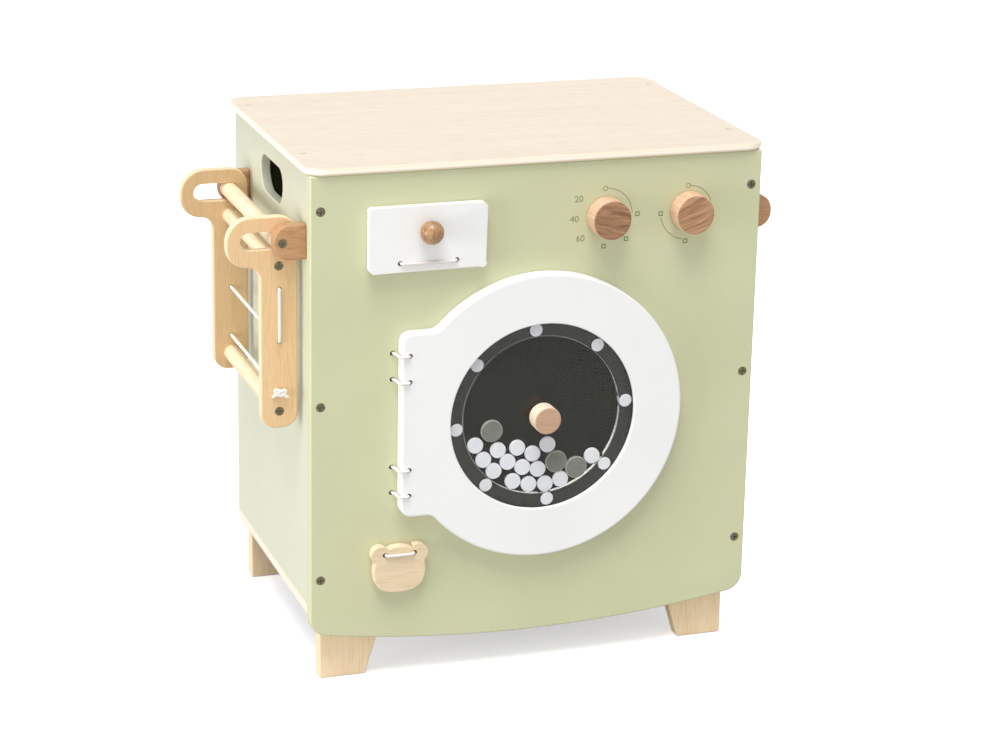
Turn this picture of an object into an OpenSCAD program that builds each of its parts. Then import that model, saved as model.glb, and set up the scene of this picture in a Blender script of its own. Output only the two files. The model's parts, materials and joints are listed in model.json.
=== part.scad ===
// Toy washing machine: a play cabinet of painted board and plywood on four feet.
// A round door with a turning window hangs on elastic cords, two small flaps hang
// the same way, two knobs turn, and a drying rack swings from a rod on the left side.
// X runs to the right, Y to the back and Z up. The origin lies on the floor,
// under the middle of the whole toy.

/* [Cabinet] */
// Width of the front panel
front_w = 400; // [380:1:460]
// Height of the top board's upper face above the floor
cabinet_h = 458; // [440:1:520]
// Depth of a side panel, front edge to back edge
side_depth = 264.5; // [240:0.5:320]
// Thickness of the front panel
front_t = 12; // [9:0.5:15]
// Thickness of a side panel
side_t = 9; // [8:0.5:12]
// Distance of a side panel's outer face from the front panel's edge
side_inset = 4.5; // [2:0.5:8]
// Thickness of the top board
top_t = 6.5; // [5:0.5:12]
// Overhang of the top board at the front and at the sides
top_over = 3.5; // [1:0.5:12]
// Overhang of the top board at the back
top_back_over = 5.5; // [0:0.5:20]
// Radius of the top board's corners
top_corner_r = 18; // [6:1:40]
// Thickness of the base board
base_t = 9; // [6:0.5:15]
// Thickness of the back panel
back_t = 5; // [3:0.5:8]
// Distance of the back panel from the side panels' back edges
back_inset = 9; // [6:0.5:20]
// Depth of the grooves that hold the back panel
groove_depth = 4; // [2:0.5:5]
// Lowest point of the front panel's curved bottom edge
front_low = 31.5; // [24:0.5:40]
// Radius of that curve
front_arc_r = 1175; // [900:5:2000]
// Radius of the front panel's bottom corners
front_corner_r = 16; // [8:1:24]

/* [Feet] */
// Height of a foot
foot_h = 56.5; // [45:0.5:70]
// Thickness of a foot, front to back
foot_t = 14; // [10:0.5:22]
// Width of a foot on the floor
foot_w = 41; // [30:1:50]
// How much wider a foot is at its top
foot_flare = 17; // [4:1:24]
// Distance of a foot's outer face from the side panel's outer face
foot_side_inset = 8; // [2:0.5:20]
// Distance of a foot from the front panel's back or from the side panel's back edge
foot_end_inset = 4; // [2:0.5:12]

/* [Hand holes] */
// Width of a hand hole
hand_w = 75; // [60:1:90]
// Height of a hand hole
hand_h = 32; // [26:1:44]
// Distance of a hand hole's flat edge below the top board
hand_drop = 21; // [14:1:40]
// Radius of its two upper corners
hand_corner_r = 13; // [6:1:16]

/* [Door] */
// Distance of the door's centre to the right of the cabinet's middle
door_x = 2.5; // [-5:0.5:8]
// Radius of the door
door_r = 126.5; // [115:0.5:130]
// Height of the straight hinge edge
hinge_edge_h = 163; // [150:1:176]
// Height of its middle above the door's centre
hinge_up = 2; // [0:0.5:4]
// Radius of the two corners of the hinge edge
hinge_corner_r = 10; // [4:1:16]
// Radius of the hollow where the hinge edge meets the round door
hinge_hollow_r = 12; // [6:1:20]
// Rounding of the door's front edges
door_round = 3; // [1:0.5:4]
// Radius of the opening in the front panel behind the door
opening_r = 102; // [99:1:108]
// Largest opening angle of the door
door_angle = 100; // [80:5:100]

/* [Window] */
// Radius of the window that shows in the door
window_r = 83; // [70:1:86]
// Thickness of the lip that holds the window in the door
lip_t = 3; // [2:0.5:4]
// Width of the lip
lip_w = 3; // [2:0.5:5]
// Thickness of each window pane
pane_t = 2.2; // [1.5:0.1:3]
// Gap between the two panes, where the loose discs tumble
chamber_t = 4; // [3:0.5:4]
// Inner radius of the clear ring between the panes
chamber_r = 70.5; // [70.5:0.5:72]
// Number of white spacer pins in the ring
spacer_count = 8; // [4:1:12]
// Radius of a spacer pin
spacer_r = 5.7; // [4:0.1:5.7]
// Angle of the first spacer pin
spacer_start = 5; // [0:5:40]
// Radius of a loose white disc
white_disc_r = 6.9; // [5:0.1:6.9]
// Radius of a loose clear disc
clear_disc_r = 9.6; // [7:0.2:9.6]
// Radius of the window's knob
window_knob_r = 12; // [8:0.5:14]
// Length of the window's knob
window_knob_l = 15; // [10:1:22]
// Outer radius of the ring that keeps the window in the door
keeper_r = 97; // [93:1:98]
// Thickness of that ring
keeper_t = 3; // [2:0.5:4]

/* [Detergent flap] */
// Width of the detergent flap
flap_w = 102; // [90:1:110]
// Height of the detergent flap
flap_h = 56; // [50:1:62]
// Thickness of both flaps
flap_t = 9; // [6:0.5:12]
// Radius of the flap's corners
flap_corner_r = 4.5; // [2:0.5:12]
// Place of the flap's centre, across the front
flap_x = -101; // [-110:1:-95]
// Radius of the wooden ball
ball_r = 10; // [8:0.5:13]
// Height of the ball above the flap's bottom edge
ball_up = 35; // [28:0.5:40]
// Width of the opening behind the flap
slot_w = 70; // [40:1:80]
// Height of the opening behind the flap
slot_h = 26; // [16:1:30]
// Largest opening angle of the detergent flap
flap_angle = 80; // [60:5:85]

/* [Animal flap] */
// Width of the animal flap across its ears
animal_w = 50; // [44:1:60]
// Height of the animal flap
animal_h = 43; // [40:1:50]
// Place of the animal flap's centre, across the front
animal_x = -123.5; // [-130:0.5:-120]
// Radius of an ear
ear_r = 8; // [6:0.5:10]
// Radius of the round hole behind the animal flap
drain_r = 11; // [6:0.5:12]
// Largest opening angle of the animal flap
animal_angle = 75; // [50:5:75]

/* [Knobs] */
// Radius of the two turning knobs
knob_r = 17; // [13:0.5:20]
// Length of the two turning knobs
knob_l = 17.5; // [14:0.5:26]
// Place of the first knob, across the front
knob_x = 58; // [50:0.5:64]
// Distance between the two knobs
knob_pitch = 75.5; // [60:0.5:80]
// Height of the knobs' middle above the detergent flap's middle
knob_up = 6.5; // [-4:0.5:10]
// Radius of a knob's wooden spindle
spindle_r = 4; // [3:0.5:5]
// Radius of the collar behind the panel
collar_r = 9; // [7:0.5:12]
// Thickness of the collar
collar_t = 4; // [3:0.5:6]

/* [Rods and blocks] */
// Distance of the rods' axes below the top board
rod_drop = 62; // [58:0.5:90]
// Distance of the rod's axis from the side panel
rod_out = 20.5; // [20.5:0.5:26]
// Radius of the rods
rod_r = 7; // [5:0.5:8]
// Distance of the front block from the front panel's face
block_front = 27; // [20:1:40]
// Thickness of a block, front to back
block_t = 12; // [9:0.5:16]
// Height of a block
block_h = 30; // [26:1:36]
// How far a block stands out past the rod's axis
block_past = 7.5; // [7:0.5:12]
// Radius of a block's outer corners
block_corner_r = 14; // [4:1:15]
// Length of a rod between its two blocks
rod_l = 182; // [150:1:200]
// Depth of the sockets that the right rod is glued into
socket_depth = 6; // [4:0.5:9]

/* [Drying rack] */
// Thickness of a rack arm
arm_t = 9; // [6:0.5:12]
// Width of the straight part of an arm
arm_w = 32; // [28:1:36]
// Height of an arm above the rod's axis
arm_up = 20; // [18:0.5:20]
// Length of an arm below the rod's axis
arm_down = 165; // [120:1:220]
// Reach of an arm's hooked end from the rod's axis
hook_reach = 44.5; // [40:0.5:56]
// Height of the hooked end
hook_h = 43; // [40:1:48]
// Distance between the centres of the slot's two round ends
slot_run = 25; // [15:1:26]
// Play of the rod in the slot, top to bottom
slot_play = 2; // [1:0.5:3]
// Diameter of the rack's line
line_d = 3; // [2:0.5:4]

/* [Cords and screws] */
// Diameter of the elastic hinge cords
cord_d = 2.6; // [1.6:0.2:3]
// Radius of a screw's head
screw_head_r = 4; // [3:0.5:4]
// Radius of a screw's shank
screw_r = 1.9; // [1.4:0.1:2]
// Radius of the dowels that hold the top board
dowel_r = 3; // [2:0.5:3.5]

/* [Hidden] */

// Smoothness of round faces
$fn = 72;
// Running gap between pieces that move past each other
gap = 0.4;
// Clearance round a screw, dowel or spindle
fit = 0.1;
// Overlap that lets a cut run out through a face
cut = 1;
green = "#bfc9a0";
white = "#f0f0ee";
birch = "#ead2ab";
beech = "#cf9d76";
bronze = "#4b4538";

// Planes of the cabinet, seen from its own middle
front_half = front_w / 2;
side_face = front_half - side_inset;
side_inner = side_face - side_t;
side_mid = side_face - side_t / 2;
under_top = cabinet_h - top_t;
base_top = foot_h + base_t;
back_edge = front_t + side_depth;
back_y = back_edge - back_inset - back_t;
// Free height of the front panel, shared out above, between and below the door and the flaps
free_h = under_top - front_low - flap_h - 2 * door_r;
over_flap_share = 0.25;
under_flap_share = 0.086;
over_animal_share = 0.215;
flap_z = under_top - over_flap_share * free_h - flap_h;
door_z = flap_z - under_flap_share * free_h - door_r;
hinge_z = door_z + hinge_up;
animal_z = door_z - hinge_edge_h / 2 - over_animal_share * free_h - animal_h;
knob_z = flap_z + flap_h / 2 + knob_up;
rod_z = under_top - rod_drop;

foot_outer = side_face - foot_side_inset;
front_foot_y = front_t + foot_end_inset;
back_foot_y = back_edge - foot_end_inset - foot_t;

// Depth planes of the door and of its window, which has a little play in it
disc_gap = 0.3;
window_t = 2 * pane_t + chamber_t;
door_t = lip_t + window_t + 2 * disc_gap;
door_back = -gap;
door_face = door_back - door_t;
seat_y = door_face + lip_t;
seat_r = window_r + lip_w;
pane_r = seat_r - gap;
front_pane_y = seat_y + disc_gap;
chamber_y = front_pane_y + pane_t;
back_pane_y = chamber_y + chamber_t;
window_back = back_pane_y + pane_t;
spacer_circle_r = (chamber_r + window_r) / 2;

// Hinge cords of the door
hinge_edge_x = door_x - door_r;
pivot_x = hinge_edge_x - 4;
cord_r = cord_d / 2;
pivot_y = -cord_r - 0.5;
cord_hole_r = cord_r + 1;
// How far a cord is pulled to one side of its hole
cord_pull = cord_hole_r - cord_r - 0.2;
cord_in = 7;
knot_r = 1.2 * cord_d;
cord_pairs = [39, 62];
cord_off = 0.3;
cord_back_y = door_back - cord_r - cord_off;
groove_w = cord_d + 2 * cord_off;
groove_depth_y = 3.6;

// Flaps
flap_back = -gap;
flap_face = flap_back - flap_t;
flap_cord_x = 24.5;
ball_flat = 1.5;
ball_screw_l = flap_t + ball_r;
flap_cord_up = 8;
slot_z = flap_z + flap_h - 11 - slot_h / 2;
animal_top = animal_z + animal_h;
animal_cord_x = 13;
animal_cord_down = 7.7;
animal_cord_z = animal_top - animal_cord_down;
drain_z = animal_z + 17;

// Rods, blocks and rack, measured from a side panel's outer face
block_back = block_front + block_t + rod_l;
block_out = rod_out + block_past;
rod_front = block_front + block_t;
arm_gap = 1;
rack_x = -(side_face + rod_out);
front_arm_y = rod_front + arm_gap;
back_arm_y = block_back - arm_gap - arm_t;
slot_r = rod_r + slot_play / 2;
slot_drop = slot_play / 2 - 0.3;
upper_rod_down = 22.5;
lower_rod_down = arm_down - 15;
line_r = line_d / 2;
line_hole_r = line_r + 0.5;
line_downs = [42.5, 88.5, 133.5];

// Middle of the whole toy, which stands over the origin
left_reach = side_face + rod_out + hook_reach;
right_reach = side_face + block_out;
front_reach = 2 * ball_r - ball_flat - flap_face;
back_reach = back_edge + top_back_over;
mid_x = (right_reach - left_reach) / 2;
mid_y = (back_reach - front_reach) / 2;

// Fasteners of the cabinet, from its edges
screw_end_inset = 30;
panel_screw_low = base_top + 32.5;
panel_screw_high = under_top - screw_end_inset;
panel_screw_zs = [for (share = [0, 0.48, 1]) panel_screw_low + share * (panel_screw_high - panel_screw_low)];
panel_screw_l = 34;
top_dowel_ys = [front_t + 42, back_edge - 32.5];
top_dowel_l = 30;
base_screw_ys = [front_t + screw_end_inset, front_t + side_depth / 2, back_edge - screw_end_inset];
base_screw_l = 30;
foot_screw_in = [12, 38];
foot_screw_l = 34;
block_screw_up = 8;
block_screw_l = side_t + 18;
rod_screw_l = block_t + 20;
rack_screw_l = arm_t + 18;
keeper_screw_count = 6;
keeper_screw_bite = 8;
keeper_screw_l = keeper_t + keeper_screw_bite;
keeper_head_r = 3;
keeper_shank_r = 1.4;
keeper_circle_r = seat_r + 6;

// Loose discs as they lie, from the window's centre
white_disc_places = [
    [-59, -22.5], [-51.5, -36], [-42, -47], [-38.5, -28.5], [-29.5, -40],
    [-21, -28], [-16, -46], [-7, -34.5], [-2, -49], [6.5, -27.5],
    [-24.5, -58], [-10, -62], [5, -63], [19, -60], [47.5, -41.5],
];
clear_disc_places = [[-44.5, -10.5], [14.5, -43.5], [33, -50.5]];

function arc(centre, r, from, to, steps) =
    [for (i = [0:steps]) centre + r * [cos(from + (to - from) * i / steps), sin(from + (to - from) * i / steps)]];

function unit(v) = v / norm(v);

// Rounds a route by cutting its corners, keeping both ends
function soften(p) = concat(
    [p[0]],
    [for (i = [0:len(p) - 2], side = [0.25, 0.75])
        if (!(i == 0 && side == 0.25) && !(i == len(p) - 2 && side == 0.75)) p[i] + (p[i + 1] - p[i]) * side],
    [p[len(p) - 1]]
);

function heading(p, i) =
    i == 0 ? unit(p[1] - p[0])
    : i == len(p) - 1 ? unit(p[i] - p[i - 1])
    : unit(unit(p[i + 1] - p[i]) + unit(p[i] - p[i - 1]));

// Side vector of each ring, carried along the route without twist
function carried(p, i, v) =
    i == len(p) ? []
    : let (h = heading(p, i), w = unit(v - (v * h) * h)) concat([w], carried(p, i + 1, w));

// A round cord along a route, as one closed tube
module tube(route, r, sides = 8) {
    first = heading(route, 0);
    start = abs(first[2]) < 0.9 ? cross(first, [0, 0, 1]) : cross(first, [1, 0, 0]);
    across = carried(route, 0, unit(start));
    rings = len(route);
    points = [
        for (i = [0:rings - 1])
            let (u = across[i], w = cross(heading(route, i), u))
                for (k = [0:sides - 1]) route[i] + r * (cos(360 * k / sides) * u + sin(360 * k / sides) * w)
    ];
    walls = [
        for (i = [0:rings - 2], k = [0:sides - 1])
            let (a = i * sides + k, b = i * sides + (k + 1) % sides)
                each [[a, a + sides, b], [b, a + sides, b + sides]]
    ];
    near_cap = [for (k = [1:sides - 2]) [0, k, k + 1]];
    last = (rings - 1) * sides;
    far_cap = [for (k = [1:sides - 2]) [last, last + k + 1, last + k]];
    polyhedron(points, concat(walls, near_cap, far_cap));
}

// Moves a piece from the cabinet's own middle to the origin under the whole toy
module placed() translate([-mid_x, -mid_y, 0]) children();

// Stands an outline drawn in X and Z up, with its face at y and its thickness to the back
module board(y, t) translate([0, y + t, 0]) rotate([90, 0, 0]) linear_extrude(t) children();

// A round bar or hole along Y
module bar_y(x, y, z, r, l) translate([x, y, z]) rotate([-90, 0, 0]) cylinder(r = r, h = l);

// Countersunk screw with its head's face at the origin, pointing along +Z
module screw(l, head_r = screw_head_r, shank_r = screw_r) {
    head_h = head_r - shank_r;
    slot_depth = head_h * 0.6;
    difference() {
        union() {
            cylinder(r1 = head_r, r2 = shank_r, h = head_h);
            cylinder(r = shank_r, h = l);
        }
        for (turn = [0, 90])
            rotate(turn) translate([-head_r * 0.6, -head_r * 0.12, -cut])
                cube([head_r * 1.2, head_r * 0.24, slot_depth + cut]);
    }
}

module screw_hole(l, head_r = screw_head_r, shank_r = screw_r) {
    head_h = head_r - shank_r;
    translate([0, 0, -cut]) cylinder(r = head_r + fit, h = cut);
    cylinder(r1 = head_r + fit, r2 = shank_r + fit, h = head_h);
    translate([0, 0, -fit]) cylinder(r = shank_r + fit, h = l + 2 * fit);
}

// Places of the fasteners
module at_panel_screws() for (side = [-1, 1], z = panel_screw_zs) translate([side * side_mid, 0, z]) rotate([-90, 0, 0]) children();

module at_base_screws() for (side = [-1, 1], y = base_screw_ys) translate([side * side_mid, y, foot_h]) children();

module at_foot_screws() for (side = [-1, 1], y = [front_foot_y, back_foot_y], in = foot_screw_in)
    translate([side * (foot_outer - in), y + foot_t / 2, base_top]) rotate([180, 0, 0]) children();

module at_block_screws() for (side = [-1, 1], y = [block_front, block_back], up = [-1, 1])
    translate([side * side_inner, y + block_t / 2, rod_z + up * block_screw_up]) rotate([0, side * 90, 0]) children();

module at_rod_screws() {
    translate([rack_x, block_front, rod_z]) rotate([-90, 0, 0]) children();
    translate([rack_x, block_back + block_t, rod_z]) rotate([90, 0, 0]) children();
}

module at_rack_screws() for (down = [upper_rod_down, lower_rod_down]) {
    translate([rack_x, front_arm_y, rod_z - down]) rotate([-90, 0, 0]) children();
    translate([rack_x, back_arm_y + arm_t, rod_z - down]) rotate([90, 0, 0]) children();
}

module at_keeper_screws() for (i = [0:keeper_screw_count - 1])
    translate([door_x, door_back + keeper_t, door_z]) rotate([90, 0, 0]) rotate(360 * (i + 0.5) / keeper_screw_count)
        translate([keeper_circle_r, 0, 0]) children();

// Cabinet

module front_outline() {
    arc_z = front_low + front_arc_r;
    corner_x = front_half - front_corner_r;
    corner_z = arc_z - sqrt(pow(front_arc_r - front_corner_r, 2) - pow(corner_x, 2));
    tilt = atan2(corner_x, arc_z - corner_z);
    polygon(concat(
        [[-front_half, under_top]],
        arc([-corner_x, corner_z], front_corner_r, 180, 270 - tilt, 10),
        arc([0, arc_z], front_arc_r, 270 - tilt, 270 + tilt, 32),
        arc([corner_x, corner_z], front_corner_r, 270 + tilt, 360, 10),
        [[front_half, under_top]]
    ));
}

module front_panel() color(green) placed() difference() {
    board(0, front_t) front_outline();
    bar_y(door_x, -cut, door_z, opening_r, front_t + 2 * cut);
    board(-cut, front_t + 2 * cut) rounded_slot(flap_x, slot_z, slot_w, slot_h);
    bar_y(animal_x, -cut, drain_z, drain_r, front_t + 2 * cut);
    for (i = [0, 1]) bar_y(knob_x + i * knob_pitch, -cut, knob_z, spindle_r + fit, front_t + 2 * cut);
    for (side = [-1, 1]) {
        bar_y(flap_x + side * flap_cord_x, -cut, flap_z + flap_cord_up, cord_hole_r, front_t + 2 * cut);
        bar_y(animal_x + side * animal_cord_x, -cut, animal_cord_z, cord_hole_r, front_t + 2 * cut);
        for (up = cord_pairs)
            bar_y(pivot_x - cord_pull, -cut, hinge_z + side * up, cord_hole_r, front_t + 2 * cut);
    }
    at_panel_screws() screw_hole(panel_screw_l);
}

module rounded_slot(x, z, w, h) translate([x, z]) {
    square([w - h, h], center = true);
    for (side = [-1, 1]) translate([side * (w - h) / 2, 0]) circle(h / 2);
}

// Wide hand hole with large lower corners, drawn round the middle of its upper edge
module hand_outline() {
    half = hand_w / 2;
    high_r = hand_corner_r;
    low_r = hand_h - hand_corner_r;
    polygon(concat(
        arc([half - high_r, -high_r], high_r, 0, 90, 8),
        arc([-half + high_r, -high_r], high_r, 90, 180, 8),
        arc([-half + low_r, low_r - hand_h], low_r, 180, 270, 10),
        arc([half - low_r, low_r - hand_h], low_r, 270, 360, 10)
    ));
}

module side_panel(side) {
    placed() difference() {
        translate([side > 0 ? side_inner : -side_face, front_t, base_top]) cube([side_t, side_depth, under_top - base_top]);
        translate([side * side_mid, front_t + side_depth / 2, under_top - hand_drop]) rotate([90, 0, 90])
            translate([0, 0, -side_t / 2 - cut]) linear_extrude(side_t + 2 * cut) hand_outline();
        translate([side > 0 ? side_inner - cut : -side_inner - groove_depth, back_y - fit, base_top - cut])
            cube([groove_depth + cut, back_t + 2 * fit, under_top - base_top + 2 * cut]);
        at_panel_screws() screw_hole(panel_screw_l);
        at_base_screws() screw_hole(base_screw_l);
        at_block_screws() screw_hole(block_screw_l);
        at_top_dowels(fit);
    }
}

module left_side_panel() color(green) side_panel(-1);

module right_side_panel() color(green) side_panel(1);

module back_panel() color(green) placed()
    translate([-side_inner - groove_depth + fit, back_y, base_top])
        cube([2 * (side_inner + groove_depth - fit), back_t, under_top - base_top]);

module base_board() color(birch) placed() difference() {
    translate([-side_face, front_t, foot_h]) cube([2 * side_face, side_depth, base_t]);
    at_base_screws() screw_hole(base_screw_l);
    at_foot_screws() screw_hole(foot_screw_l);
}

module top_board() color(birch) placed() difference() {
    x = front_half + top_over - top_corner_r;
    y_front = -top_over + top_corner_r;
    y_back = back_reach - top_corner_r;
    translate([0, 0, under_top]) linear_extrude(top_t) polygon(concat(
        arc([x, y_front], top_corner_r, 270, 360, 10),
        arc([x, y_back], top_corner_r, 0, 90, 10),
        arc([-x, y_back], top_corner_r, 90, 180, 10),
        arc([-x, y_front], top_corner_r, 180, 270, 10)
    ));
    at_top_dowels(fit);
}

module at_top_dowels(extra) for (side = [-1, 1], y = top_dowel_ys)
    translate([side * side_mid, y, cabinet_h - top_dowel_l - extra]) cylinder(r = dowel_r + extra, h = top_dowel_l + extra + (extra > 0 ? cut : 0));

module foot(side, y) placed() difference() {
    inner = foot_outer - foot_w;
    board(y, foot_t) polygon([
        [side * foot_outer, 0], [side * inner, 0], [side * (inner - foot_flare), foot_h], [side * foot_outer, foot_h]
    ]);
    at_foot_screws() screw_hole(foot_screw_l);
}

module front_left_foot() color(birch) foot(-1, front_foot_y);

module front_right_foot() color(birch) foot(1, front_foot_y);

module back_left_foot() color(birch) foot(-1, back_foot_y);

module back_right_foot() color(birch) foot(1, back_foot_y);

module panel_screws() color(bronze) placed() at_panel_screws() screw(panel_screw_l);

module top_dowels() color(beech) placed() at_top_dowels(0);

module base_screws() color(bronze) placed() at_base_screws() screw(base_screw_l);

module foot_screws() color(bronze) placed() at_foot_screws() screw(foot_screw_l);

// Blocks and rods

module block(side, y) placed() difference() {
    top = rod_z + block_h / 2;
    low = rod_z - block_h / 2;
    tip = side_face + block_out;
    board(y, block_t) polygon([for (p = concat(
        [[side_face, top], [side_face, low]],
        arc([tip - block_corner_r, low + block_corner_r], block_corner_r, 270, 360, 10),
        arc([tip - block_corner_r, top - block_corner_r], block_corner_r, 0, 90, 10)
    )) [side * p[0], p[1]]]);
    at_block_screws() screw_hole(block_screw_l);
    at_rod_screws() screw_hole(rod_screw_l);
    right_rod(fit);
}

module left_front_block() color(beech) block(-1, block_front);

module left_back_block() color(beech) block(-1, block_back);

module right_front_block() color(beech) block(1, block_front);

module right_back_block() color(beech) block(1, block_back);

module rack_rod() color(beech) placed() difference() {
    bar_y(rack_x, rod_front, rod_z, rod_r, rod_l);
    at_rod_screws() screw_hole(rod_screw_l);
}

// The rod on the right, or with some room round it the sockets that it is glued into
module right_rod(room) {
    deep = socket_depth + room;
    bar_y(side_face + rod_out, rod_front - deep, rod_z, rod_r + room, rod_l + 2 * deep);
}

module hanging_rod() color(beech) placed() right_rod(0);

module block_screws() color(bronze) placed() at_block_screws() screw(block_screw_l);

module rod_screws() color(bronze) placed() at_rod_screws() screw(rod_screw_l);

// Door

// Side profile of the round door, from its rebate out to its rounded edge
module door_profile() polygon(concat(
    [[seat_r, door_t], [seat_r, lip_t], [window_r, lip_t]],
    arc([window_r + door_round / 2, door_round / 2], door_round / 2, 180, 270, 6),
    arc([door_r - door_round, door_round], door_round, 270, 360, 8),
    [[door_r, door_t]]
));

// Upper or lower half of the straight hinge edge, from the door's centre
module hinge_half(up) {
    half = hinge_edge_h / 2 + up * hinge_up;
    reach = sqrt(pow(door_r + hinge_hollow_r, 2) - pow(half + hinge_hollow_r, 2));
    lean = atan2(half + hinge_hollow_r, reach);
    inside = window_r + 12;
    polygon([for (p = concat(
        [[-inside * 0.6, 0], [-door_r, 0]],
        arc([-door_r + hinge_corner_r, half - hinge_corner_r], hinge_corner_r, 180, 90, 8),
        arc([-reach, half + hinge_hollow_r], hinge_hollow_r, 270, 360 - lean, 6),
        [[-inside * 0.6, inside * 0.85]]
    )) [p[0], up * p[1]]]);
}

module hinge_outline() for (up = [-1, 1]) hinge_half(up);

module door_ring() color(white) placed() translate([door_x, door_face, door_z]) difference() {
    union() {
        rotate([-90, 0, 0]) rotate_extrude() door_profile();
        board(0, door_t) difference() {
            hinge_outline();
            circle(seat_r + 2);
        }
    }
    for (side = [-1, 1]) {
        for (up = cord_pairs) bar_y(cord_in - door_r, -cut, hinge_up + side * up, cord_hole_r, door_t + 2 * cut);
        translate([cord_in - cord_pull - door_r, door_t, hinge_up + side * (cord_pairs[0] + cord_pairs[1]) / 2])
            cube([groove_w, 2 * groove_depth_y, cord_pairs[1] - cord_pairs[0]], center = true);
    }
    translate([-door_x, -door_face, -door_z]) at_keeper_screws() screw_hole(keeper_screw_l, keeper_head_r, keeper_shank_r);
}

module window_keeper() color(white) placed() difference() {
    bar_y(door_x, door_back, door_z, keeper_r, keeper_t);
    bar_y(door_x, door_back - cut, door_z, window_r - 3, keeper_t + 2 * cut);
    at_keeper_screws() screw_hole(keeper_screw_l, keeper_head_r, keeper_shank_r);
}

module keeper_screws() color(bronze) placed() at_keeper_screws() screw(keeper_screw_l, keeper_head_r, keeper_shank_r);

module discs(places, r) placed() for (p = places)
    bar_y(door_x + p[0], chamber_y + disc_gap, door_z + p[1], r, chamber_t - 2 * disc_gap);

module white_discs() color(white) discs(white_disc_places, white_disc_r);

module clear_discs() color("#8d8f86") discs(clear_disc_places, clear_disc_r);

// Cord of one hinge: out of the pivot, round the edge, through the door and back the same way
function around_edge(z, up) = let (inside = hinge_edge_x + cord_in - cord_pull) [
    [pivot_x, pivot_y, z],
    [hinge_edge_x - cord_r - cord_off, pivot_y - 1.7, z],
    [hinge_edge_x - cord_r - cord_off, door_face + 1, z],
    [hinge_edge_x - cord_r - cord_off, door_face - cord_r - cord_off, z],
    [hinge_edge_x + 1, door_face - cord_r - cord_off, z],
    [inside - 2, door_face - cord_r - cord_off, z],
    [inside, door_face - cord_r - cord_off, z],
    [inside, door_face + cord_d, z],
    [inside, cord_back_y - 1.6, z],
    [inside, cord_back_y, z],
    [inside, cord_back_y, z + up * 1.6],
];

function turned(p) = [for (i = [len(p) - 1:-1:0]) p[i]];

module hinge_cord(side) placed() {
    near = around_edge(hinge_z + side * cord_pairs[0], side);
    far = around_edge(hinge_z + side * cord_pairs[1], -side);
    tube(soften(concat(near, turned(far))), cord_r);
}

module upper_hinge_cord() color(white) hinge_cord(1);

module lower_hinge_cord() color(white) hinge_cord(-1);

// Straight end of a cord in the front panel, with its knot behind
module cord_end(x, z) {
    bar_y(x, pivot_y + cord_r + gap, z, cord_r, front_t + 2 * cord_r);
    translate([x, front_t + gap + knot_r, z]) sphere(knot_r);
}

module hinge_cord_ends() color(white) placed() for (side = [-1, 1], up = cord_pairs)
    cord_end(pivot_x, hinge_z + side * up);

// Turning window

module pane(y) placed() difference() {
    bar_y(door_x, y, door_z, pane_r, pane_t);
    bar_y(door_x, y - cut, door_z, screw_r + fit, pane_t + 2 * cut);
}

module front_pane() color("#c9cdc8", 0.35) pane(front_pane_y);

module back_pane() color("#45453c") pane(back_pane_y);

module at_spacers() for (i = [0:spacer_count - 1])
    translate([door_x, chamber_y, door_z]) rotate([-90, 0, 0]) rotate(-spacer_start - 360 * i / spacer_count)
        translate([spacer_circle_r, 0, 0]) children();

module spacer_ring() color("#9c9f97", 0.5) placed() difference() {
    bar_y(door_x, chamber_y, door_z, pane_r, chamber_t);
    bar_y(door_x, chamber_y - cut, door_z, chamber_r, chamber_t + 2 * cut);
    at_spacers() translate([0, 0, -cut]) cylinder(r = spacer_r + fit, h = chamber_t + 2 * cut);
}

module spacer_pins() color(white) placed() at_spacers() cylinder(r = spacer_r, h = chamber_t);

module window_hub() color("#45453c") placed() difference() {
    bar_y(door_x, chamber_y, door_z, window_knob_r * 0.7, chamber_t);
    bar_y(door_x, chamber_y - cut, door_z, screw_r + fit, chamber_t + 2 * cut);
}

module at_window_knob() translate([door_x, front_pane_y, door_z]) rotate([90, 0, 0]) children();

module window_knob() color(beech) placed() at_window_knob() difference() {
    rotate_extrude() polygon([
        [0, 0], [window_knob_r, 0], [window_knob_r, window_knob_l - 1], [window_knob_r - 1, window_knob_l], [0, window_knob_l]
    ]);
    translate([0, 0, -cut]) cylinder(r = screw_r + fit, h = window_knob_l * 0.6 + cut);
}

module window_screw() color(bronze) placed() translate([door_x, window_back, door_z]) rotate([90, 0, 0]) {
    cylinder(r = screw_r, h = window_back - front_pane_y + window_knob_l * 0.5);
    translate([0, 0, -2]) cylinder(r = screw_head_r, h = 2);
}

// Flaps

module detergent_flap() color(white) placed() difference() {
    x = flap_w / 2 - flap_corner_r;
    low = flap_z + flap_corner_r;
    high = flap_z + flap_h - flap_corner_r;
    board(flap_face, flap_t) polygon(concat(
        arc([flap_x + x, low], flap_corner_r, 270, 360, 8),
        arc([flap_x + x, high], flap_corner_r, 0, 90, 8),
        arc([flap_x - x, high], flap_corner_r, 90, 180, 8),
        arc([flap_x - x, low], flap_corner_r, 180, 270, 8)
    ));
    for (side = [-1, 1]) bar_y(flap_x + side * flap_cord_x, flap_face - cut, flap_z + flap_cord_up, cord_hole_r, flap_t + 2 * cut);
    at_ball_screw() screw_hole(ball_screw_l, keeper_head_r, keeper_shank_r);
}

module at_ball_screw() translate([flap_x, flap_back, flap_z + ball_up]) rotate([90, 0, 0]) children();

module flap_ball() color(beech) placed() difference() {
    translate([flap_x, flap_face - ball_r + ball_flat, flap_z + ball_up]) rotate([90, 0, 0]) rotate_extrude()
        intersection() {
            circle(ball_r);
            translate([0, ball_flat - ball_r]) square(2 * ball_r);
        }
    at_ball_screw() screw_hole(ball_screw_l, keeper_head_r, keeper_shank_r);
}

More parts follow.
